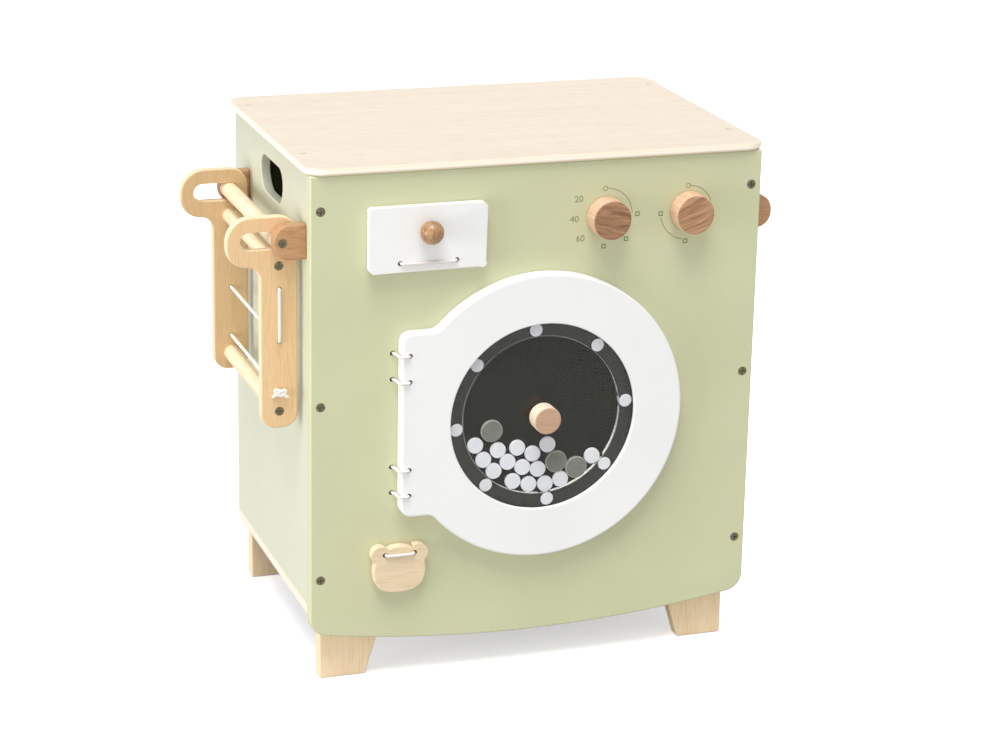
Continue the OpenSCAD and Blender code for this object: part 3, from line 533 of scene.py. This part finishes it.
def mark_edges(mesh, least_length, share=lambda place: 1.0):
    """Marks the long sharp edges of a mesh for the Bevel modifier, and counts them."""
    sides = {}
    for face in mesh.polygons:
        # A sliver's normal can't be trusted.
        if face.area > SLIVER:
            for key in face.edge_keys:
                sides.setdefault(key, []).append(face.normal)
    marks = mesh.attributes.new("bevel_weight_edge", "FLOAT", "EDGE")
    count = 0
    for edge in mesh.edges:
        normals = sides.get(edge.key, [])
        start, end = (mesh.vertices[i].co for i in edge.vertices)
        long_enough = (end - start).length > least_length
        if long_enough and len(normals) == 2 and normals[0].angle(normals[1], 0) > SHARP:
            marks.data[edge.index].value = share((start + end) / 2)
            count += 1
    return count


def round_edges(piece, width_mm, steps, material_index=-1):
    """Rounds the marked edges of the active piece, with faces that shade as flat as they are."""
    bevel = piece.modifiers.new("edge", "BEVEL")
    bevel.width = width_mm * MM
    bevel.segments = steps
    bevel.limit_method = "WEIGHT"
    bevel.use_clamp_overlap = False
    bevel.loop_slide = False
    bevel.material = material_index
    bpy.ops.object.modifier_apply(modifier="edge")
    bpy.ops.object.shade_smooth_by_angle(angle=SMOOTH_BELOW)
    flat = piece.modifiers.new("flat", "WEIGHTED_NORMAL")
    flat.keep_sharp = True
    bpy.ops.object.modifier_apply(modifier="flat")


print("edges sharper than", round(math.degrees(SHARP)), "degrees get rounded")

# %% [markdown]
# These steps together stand a piece with rounded edges in the place of a CAD node. A piece that touches a
# pane of the window is also made a little thinner.

# %% Eased pieces
def eased(node, width_mm, *materials, steps=3, least_length=SMALL_HOLE, thinner=1.0):
    """Stands a copy with rounded edges in a CAD node's place, a little thinner where it touches a pane."""
    piece = joined_copy(node, node + "_eased")
    if thinner < 1:
        low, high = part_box(node)
        bpy.ops.object.mode_set(mode="EDIT")
        bpy.ops.mesh.select_all(action="SELECT")
        bpy.ops.transform.resize(value=(1, thinner, 1), center_override=(low + high) / 2)
        bpy.ops.object.mode_set(mode="OBJECT")
    count = mark_edges(piece.data, least_length)
    dress(piece, *materials)
    round_edges(piece, width_mm, steps, len(materials) - 1)
    stand_for(piece, node)
    print(node, "edges rounded:", count, "faces:", len(piece.data.polygons))


# %% [markdown]
# The front panel, the sides, the boards and the feet only need sanded edges and their finishes. The top
# board's edge is almost a half round, and the others have a rounding of about one millimetre.

# %% Boards and feet
eased("front_panel", 1.6, green_paint)
# The side panels wear the paler copy of the paint, with painted light.
eased("left_side_panel", 1.2, paint_with_painted_side_light)
eased("right_side_panel", 1.2, paint_with_painted_side_light)
eased("back_panel", 0.5, green_paint)
eased("top_board", 2.4, top_ply, steps=4)
eased("base_board", 0.8, base_ply)
for foot in ("front_left_foot", "front_right_foot", "back_left_foot", "back_right_foot"):
    eased(foot, 1.2, foot_wood)

# %% [markdown]
# The blocks are beech and the rods birch. The rack's arms are plywood with well rounded edges, as
# everything is that a child takes hold of.

# %% Blocks, rods and rack
for block in ("left_front_block", "left_back_block", "right_front_block", "right_back_block"):
    eased(block, 1.4, block_wood)
for rod in ("rack_rod", "hanging_rod", "rack_upper_rod", "rack_lower_rod"):
    eased(rod, 0.3, rod_wood)
eased("rack_front_arm", 1.6, front_arm_ply)
# The back arm gets the darker plywood with painted shade.
eased("rack_back_arm", 1.6, back_arm_ply_painted_shade)

# %% [markdown]
# The detergent flap is painted board and the animal flap bare plywood. The turned pieces have a small
# chamfer already, which is only softened.

# %% Flaps and knobs
eased("detergent_flap", 1.8, white_paint)
eased("animal_flap", 1.4, animal_ply)
eased("program_knob", 0.5, program_beech, least_length=0)
eased("heat_knob", 0.5, heat_beech, least_length=0)
eased("window_knob", 0.5, window_beech, least_length=0)

# %% [markdown]
# The door is one board: a ring with a straight hinge edge, rounded all along its front. The CAD solid
# rounds only the ring. So its front skin is cut off just behind the rounding, the open outlines are drawn
# forward again as square walls, and the face is filled. A lip is left round the window, in front of its
# pane.

# %% Door with a square front
SKIN = 3.2 * MM
REBATE_LIMIT = 90 * MM
LIP_R = 83 * MM
door = joined_copy("door_ring", "door_rounded")
door_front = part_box("door_ring")[0].y
pane_low, pane_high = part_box("front_pane")
door_centre = (pane_low + pane_high) / 2


def from_axis(place):
    """Distance from the window's axis."""
    return math.hypot(place.x - door_centre.x, place.z - door_centre.z)


def select_where(piece, wanted):
    """In edit mode, selects the points that pass a test."""
    bpy.ops.mesh.select_mode(type="VERT")
    bpy.ops.mesh.select_all(action="DESELECT")
    shape = bmesh.from_edit_mesh(piece.data)
    for vertex in shape.verts:
        vertex.select_set(wanted(vertex))
    shape.select_flush(True)
    bmesh.update_edit_mesh(piece.data)


bpy.ops.object.mode_set(mode="EDIT")
bpy.ops.mesh.select_all(action="SELECT")
bpy.ops.mesh.bisect(plane_co=(0, door_front + SKIN, 0), plane_no=(0, 1, 0), clear_inner=True)
select_where(door, lambda v: v.is_boundary and from_axis(v.co) < REBATE_LIMIT)
rebate_r = from_axis(next(v.co for v in bmesh.from_edit_mesh(door.data).verts if v.select))
bpy.ops.mesh.extrude_region_move()
shrink = LIP_R / rebate_r
bpy.ops.transform.resize(value=(shrink, 1, shrink), center_override=door_centre)
select_where(door, lambda v: v.is_boundary)
bpy.ops.mesh.extrude_region_move(TRANSFORM_OT_translate={"value": (0, -SKIN, 0)})
bpy.ops.mesh.fill()
bpy.ops.mesh.select_all(action="SELECT")
bpy.ops.mesh.normals_make_consistent(inside=False)
bpy.ops.mesh.dissolve_limited(angle_limit=FLAT)
bpy.ops.object.mode_set(mode="OBJECT")

print("rebate radius in mm:", round(rebate_r / MM, 2), "faces:", len(door.data.polygons))

# %% [markdown]
# One Bevel runs round the whole front outline. The lip round the window is thin, so it is rounded about
# half as much, and the edges behind the front stay as they are.

# %% Rounded door
LIP_SHARE = 0.55
HAIR = 0.1 * MM
MARGIN = 1 * MM


def door_share(place):
    """How much of the full rounding an edge of the door gets."""
    if place.y > door_front + HAIR:
        return 0.0
    return LIP_SHARE if from_axis(place) < LIP_R + MARGIN else 1.0


door_edges = mark_edges(door.data, SMALL_HOLE, door_share)
dress(door, white_paint)
round_edges(door, width_mm=2.2, steps=4)
stand_for(door, "door_ring")
print("door edges rounded:", door_edges, "faces:", len(door.data.polygons))
eased("window_keeper", 0.6, white_paint)

# %% [markdown]
# The discs and pins are slices of acrylic with broken edges. The clear ring between the panes has a
# frosted inner edge, which shows in the photograph as a thin light circle. Pieces that touch a pane are
# made a little thinner, so that no two faces lie in one plane.

# %% Turning window
# The white discs and pins glow a little with painted light.
eased("white_discs", 0.5, white_acrylic_painted_glow, steps=2, least_length=0)
eased("clear_discs", 0.4, grey_disc_acrylic_painted_reflection, frosted_edge, steps=2, least_length=0)
eased("spacer_pins", 0.5, white_acrylic_painted_glow, steps=2, least_length=0, thinner=0.9)
eased("spacer_ring", 0.24, clear_acrylic, frosted_edge, steps=1, thinner=0.9)

# %% [markdown]
# A cord is drawn as a few route points. Its centre line is the smooth curve that those points pull on, a
# B-spline. Such a curve has no kink, as a taut elastic cord has none.

# %% Centre line of a cord
SPAN_STEPS = 6


def smooth_line(points):
    """A quadratic B-spline through the two ends, which follows the points between them."""
    ends = [points[0]] + [(a + b) / 2 for a, b in zip(points[1:-2], points[2:-1])] + [points[-1]]
    line = []
    for start, pull, end in zip(ends, points[1:-1], ends[1:]):
        for step in range(SPAN_STEPS):
            t = step / SPAN_STEPS
            line.append(start * (1 - t) ** 2 + pull * 2 * t * (1 - t) + end * t ** 2)
    return line + [points[-1]]


print("each route point gives", SPAN_STEPS, "places on the centre line")

# %% [markdown]
# Rings of points along the centre line make the tube. Each ring is carried along without twist, so the
# braid doesn't spiral by itself. Operators can't carry a map along a tube, so the rings are made in mesh
# code.

# %% Cords as tubes
CORD_MM = 2.6
RACK_LINE_MM = 3.0
RING = 12


def tube(shape, braid, line, width_mm):
    """Adds a closed tube with its map. The line's last two points only give the tube's end its direction."""
    steps = [(b - a).normalized() for a, b in zip(line, line[1:])]
    ways = [(a + b).normalized() for a, b in zip(steps, steps[1:])]
    side = ways[0].orthogonal()
    angles = [math.tau * k / RING for k in range(RING)]
    rings = []
    for centre, way in zip(line, ways):
        side = (side - side.dot(way) * way).normalized()
        other = way.cross(side)
        outward = [math.cos(a) * side + math.sin(a) * other for a in angles]
        rings.append([shape.verts.new(centre + out * width_mm * MM / 2) for out in outward])
    along = [0.0]
    for a, b in zip(line, line[1:]):
        along.append(along[-1] + (b - a).length / MM)
    for i, (near, far) in enumerate(zip(rings, rings[1:])):
        for k in range(RING):
            after = (k + 1) % RING
            face = shape.faces.new((near[k], near[after], far[after], far[k]))
            for loop, ring, turn in zip(face.loops, (i, i, i + 1, i + 1), (k, k + 1, k + 1, k)):
                loop[braid].uv = (along[ring], turn / RING)
    shape.faces.new(rings[0][::-1])
    shape.faces.new(rings[-1])
    return along[-1]


def cord(name, routes, width_mm=CORD_MM):
    """A braided cord, or a few that are one piece."""
    mesh = bpy.data.meshes.new(name)
    shape = bmesh.new()
    braid = shape.loops.layers.uv.new("braid")
    length = sum(tube(shape, braid, smooth_line(route), width_mm) for route in routes)
    shape.to_mesh(mesh)
    shape.free()
    piece = bpy.data.objects.new(name, mesh)
    bpy.context.scene.collection.objects.link(piece)
    select_only(piece)
    bpy.ops.object.shade_smooth()
    dress(piece, elastic)
    print(name, "length in mm:", round(length, 1), "faces:", len(mesh.polygons))
    return piece


print("cords are", CORD_MM, "mm thick, and the rack's line", RACK_LINE_MM)

# %% [markdown]
# Every cord ends in an overhand knot. Seen flat, such a knot is a trefoil curve, which a pair of
# polynomials draws: t**3 - 3t across, and t**4 - 4t**2 down. A third one, t**5 - 10t, lifts the cord where
# it passes over itself. Its curve is about six units wide, and it stands a little off the board behind it.

# %% Knot
KNOT_POINTS = 25
KNOT_END = 2.1
KNOT_UNITS = 6
KNOT_MIDDLE = 1.2
KNOT_FLATNESS = 0.55
LIFT_LIMIT = 9.5
OFF_BOARD = 0.8
LIFT = 0.7
RIGHT = Vector((1, 0, 0))
FRONT = Vector((0, -1, 0))
REAR = Vector((0, 1, 0))


def knot(place, out, width_mm):
    """Route of an overhand knot that lies flat before a place, with its two ends to the sides."""
    down = RIGHT.cross(out)
    unit = width_mm * MM / KNOT_UNITS
    route = []
    for step in range(KNOT_POINTS):
        t = -KNOT_END + 2 * KNOT_END * step / (KNOT_POINTS - 1)
        lift = max(-LIFT_LIMIT, min(LIFT_LIMIT, t ** 5 - 10 * t)) / LIFT_LIMIT
        flat = RIGHT * (t ** 3 - 3 * t) + down * KNOT_FLATNESS * (t ** 4 - 4 * t ** 2 + KNOT_MIDDLE)
        route.append(place + unit * (flat + out * (OFF_BOARD + LIFT * lift)))
    return route


print("knot: a trefoil of", KNOT_POINTS, "points")

# %% [markdown]
# One line runs through both arms three times. It starts in a knot on the front arm, and its last knot sits
# behind the back arm.

# %% Rack line
LOW_RUN = 0.2560
MIDDLE_RUN = 0.3010
HIGH_RUN = 0.3470
OFF_ARM = 1.8 * MM
BEND = 5 * MM
line_low, line_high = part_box("rack_line")
line_x = (line_low.x + line_high.x) / 2
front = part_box("rack_front_arm")[0].y - OFF_ARM
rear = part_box("rack_back_arm")[1].y + OFF_ARM


def at(y, z):
    return Vector((line_x, y, z))


def run(start, end, z):
    """A straight run from one arm to the other, at height z."""
    inward = BEND if start < end else -BEND
    return [at(start + inward, z), at((start + end) / 2, z), at(end - inward, z)]


def climb(y, start, end):
    """A step up an arm's outer face, between two heights."""
    return [at(y, start), at(y, start + BEND), at(y, end - BEND), at(y, end)]


first_knot = knot(at(front, LOW_RUN), FRONT, width_mm=13)
last_knot = knot(at(rear, HIGH_RUN), REAR, width_mm=12)
lacing = run(front, rear, LOW_RUN) + climb(rear, LOW_RUN, MIDDLE_RUN)
lacing += run(rear, front, MIDDLE_RUN) + climb(front, MIDDLE_RUN, HIGH_RUN) + run(front, rear, HIGH_RUN)
stand_for(cord("rack_line_braided", [first_knot[::-1] + lacing + last_knot], RACK_LINE_MM), "rack_line")

# %% [markdown]
# The cords of the door and of the flaps are knotted behind the front panel, which they cross in small
# holes. These ends stay in the cabinet when the door or a flap turns, so they are pieces of their own.

# %% Knotted ends
TIP_SPREAD = 1.2 * CORD_MM * MM


def centres(tips):
    """Middles of the small circles that the tips lie on."""
    left = list(tips)
    while left:
        group = [p for p in left if (p - left[0]).length < TIP_SPREAD]
        left = [p for p in left if p not in group]
        xs = [p.x for p in group]
        zs = [p.z for p in group]
        yield (min(xs) + max(xs)) / 2, (min(zs) + max(zs)) / 2


def behind_panel(x, z):
    """Route of a cord's end: from the panel's face, through the panel, and into a knot."""
    before_panel = panel_y - HAIR
    in_panel = panel_y + 3 * MM
    panel_back = panel_high.y
    hole = [Vector((x, y, z)) for y in (before_panel, in_panel, panel_back)]
    return hole + knot(Vector((x, panel_back + 1.5 * MM, z)), REAR, width_mm=9)


for node in ("hinge_cord_ends", "flap_cord_ends", "animal_cord_ends"):
    tips = [v.co for v in frame["nodes"][node].data.vertices if v.co.y < panel_y]
    holes = {(round(x, 4), round(z, 4)) for x, z in centres(tips)}
    stand_for(cord(node + "_knotted", [behind_panel(x, z) for x, z in sorted(holes)]), node)

# %% [markdown]
# A flap hangs on one cord, which comes out of a hole in the flap's face and goes back into another. The
# stretch between them sags a little. It turns with the flap.

# %% Flap cords
def face_route(node):
    """Over a flap's face, from one hole to the other."""
    corner = 4 * MM
    rise = 2.5 * MM
    lean = 0.2 * MM
    sag = 0.4 * MM
    low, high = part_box(node)
    r = CORD_MM * MM / 2
    left = low.x + r
    right = high.x - r
    over = low.y + r
    z = (low.z + high.z) / 2
    route = [(left, high.y, z), (left, over + rise, z), (left + lean, over, z)]
    route += [(left + corner, over, z - sag), (right - corner, over, z - sag)]
    route += [(right - lean, over, z), (right, over + rise, z), (right, high.y, z)]
    return [Vector(place) for place in route]


for node in ("flap_cord", "animal_cord"):
    stand_for(cord(node + "_braided", [face_route(node)]), node)

# %% [markdown]
# The door has no metal hinge. Each cord starts on the hinge's axis, so it stays on its hole when the door
# swings. It runs round the door's edge, over its face and through it, and back the same way lower down.

# %% Hinge cords
door_hinge = next(j for j in frame["record"]["behaviour"]["joints"] if j["name"] == "door_hinge")
hinge_x, hinge_y = door_hinge["pos_m"][:2]


def hinge_route(node):
    """Out of the panel, round the door's edge, through the door, and back lower down."""
    tip = 0.9 * MM
    slant = 1.7 * MM
    gap = 2.4 * MM
    corner = 3 * MM
    dip = 4 * MM
    bend = 2 * MM
    low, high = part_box(node)
    r = CORD_MM * MM / 2
    top = high.z - r
    foot = low.z + r
    edge = low.x + gap
    hole = high.x - r
    over = low.y + r
    under = high.y - r
    half = [(hinge_x, hinge_y + tip), (hinge_x, hinge_y), (edge, hinge_y - slant), (edge, over + corner)]
    half += [(edge, over), (edge + corner, over), (hole - bend, over), (hole, over)]
    half += [(hole, over + dip), (hole, high.y - corner), (hole, under)]
    upper = [Vector((x, y, top)) for x, y in half]
    lower = [Vector((x, y, foot)) for x, y in half]
    turn = [Vector((hole, under, top - bend)), Vector((hole, under, foot + bend))]
    return upper + turn + lower[::-1]


for node in ("upper_hinge_cord", "lower_hinge_cord"):
    stand_for(cord(node + "_braided", [hinge_route(node)]), node)

# %% [markdown]
# Thin olive lines and small figures are printed round the two knobs. A line is a short edge that is spun
# into a flat strip, and a figure is a word of text that is made a mesh. Both lie a hair in front of the
# paint.

# %% Helpers for dial marks
PRINT_Y = panel_y - 0.05 * MM
INK_MM = 0.6


def polar(centre, radius_mm, angle):
    """The place at a radius and an angle, anticlockwise from the right, from a centre on the panel."""
    a = math.radians(angle)
    return Vector((centre.x + radius_mm * MM * math.cos(a), PRINT_Y, centre.z + radius_mm * MM * math.sin(a)))


def arc(centre, radius_mm, start, end, line_mm=INK_MM, steps=48):
    """A thin arc on the panel, between two angles."""
    ends = [polar(centre, radius_mm + way * line_mm / 2, start) for way in (-1, 1)]
    turn = math.radians(end - start)
    mesh = bpy.data.meshes.new("arc")
    mesh.from_pydata(ends, [(0, 1)], [])
    mark = bpy.data.objects.new("arc", mesh)
    bpy.context.scene.collection.objects.link(mark)
    select_only(mark)
    bpy.ops.object.mode_set(mode="EDIT")
    bpy.ops.mesh.select_all(action="SELECT")
    bpy.ops.mesh.spin(steps=steps, angle=turn, center=polar(centre, 0, 0), axis=(0, 1, 0))
    bpy.ops.object.mode_set(mode="OBJECT")
    return mark


def figure(text, place, height_mm):
    """A printed figure, centred on its place, as a mesh."""
    bpy.ops.object.select_all(action="DESELECT")
    bpy.ops.object.text_add(location=place, rotation=(math.radians(90), 0, 0))
    word = bpy.context.object
    word.data.body = text
    word.data.size = height_mm * MM
    word.data.align_x = "CENTER"
    word.data.align_y = "CENTER"
    bpy.ops.object.convert(target="MESH")
    bpy.ops.object.transform_apply(location=True, rotation=True, scale=True)
    return word


print("ink lines are", INK_MM, "mm wide")

# %% [markdown]
# Each dial has arcs, a small open dot, and small open squares, which are spun in four steps. The left one
# also has three figures. Radii are in millimetres and angles in degrees, read from the photograph.

# %% Dials
DOT_MM = 1.9
SQUARE_MM = 2.2
SQUARE_LINE_MM = 1.3
FIGURE_MM = 8


def dial(name, knob, arcs, dots, squares, figures):
    """Prints a dial round a knob, as one piece on the cabinet."""
    low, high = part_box(knob)
    centre = (low + high) / 2
    marks = [arc(centre, radius, start, end) for radius, start, end in arcs]
    marks += [arc(polar(centre, *place), DOT_MM, 0, 360, steps=24) for place in dots]
    marks += [arc(polar(centre, *place), SQUARE_MM, 45, 405, SQUARE_LINE_MM, 4) for place in squares]
    marks += [figure(text, polar(centre, radius, angle), FIGURE_MM) for text, radius, angle in figures]
    piece = marks[0]
    select_only(piece)
    for mark in marks[1:]:
        mark.select_set(True)
    bpy.ops.object.join()
    piece.name = name
    dress(piece, dial_ink)
    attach(piece, "cabinet")
    print(name, "faces:", len(piece.data.polygons))


dial("program_dial_print", "program_knob", arcs=[(24, 2, 87)], dots=[(24, 92)],
     squares=[(28.8, 0), (28.8, -48), (26.5, -92)],
     figures=[("20", 29, 147), ("40", 28, 183), ("60", 29, 220)])
dial("heat_dial_print", "heat_knob", arcs=[(21.7, 20, 87), (25.5, 190, 259)], dots=[(21.7, 92)],
     squares=[(25.4, 183), (27, 266)], figures=[])

# %% [markdown]
# Screws, hidden pieces and the panes are exact as they are, and only get their finishes.

# %% Finishes of the other solids
kept_solids = {
    screw_metal: ("panel_screws", "base_screws", "foot_screws", "block_screws", "rod_screws", "rack_screws",
                  "keeper_screws", "window_screw", "ball_screw"),
    dowel_ends: ("top_dowels",),
    clear_acrylic: ("front_pane",),
    dark_acrylic: ("back_pane", "window_hub"),
    ball_beech: ("flap_ball",),
    spindle_wood: ("program_spindle", "program_collar", "heat_spindle", "heat_collar"),
}
for material, nodes in kept_solids.items():
    for node in nodes:
        dress(frame["nodes"][node], material)
    print(material.name, "on", len(nodes), "solids")
